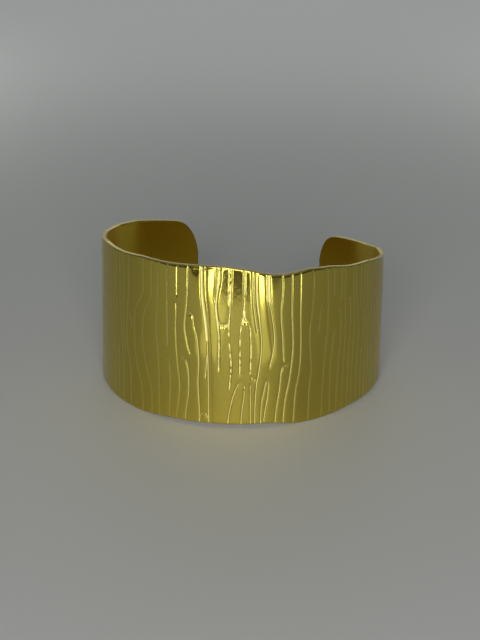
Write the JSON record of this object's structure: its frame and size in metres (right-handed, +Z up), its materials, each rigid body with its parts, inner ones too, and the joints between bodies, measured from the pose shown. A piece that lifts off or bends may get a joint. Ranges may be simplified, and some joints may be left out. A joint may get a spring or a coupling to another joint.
{
  "type": "cuff bracelet",
  "caption": "Wide open cuff bracelet: one polished brass band with a bark-patterned outside, a smooth inside, wavy edges and rounded ends, standing on its lower edge.",
  "frame": {"origin": "on the surface that the cuff stands on, below the middle of the band's box", "axes": "+Z up through the wrist hollow, -Y towards the middle of the front, +X towards the side with the shorter end"},
  "size_m": [0.062, 0.0532, 0.0361],
  "materials": {
    "polished_brass": "polished"
  },
  "bodies": {
    "root": {"cuff_band": "polished_brass"}
  },
  "joints": []
}
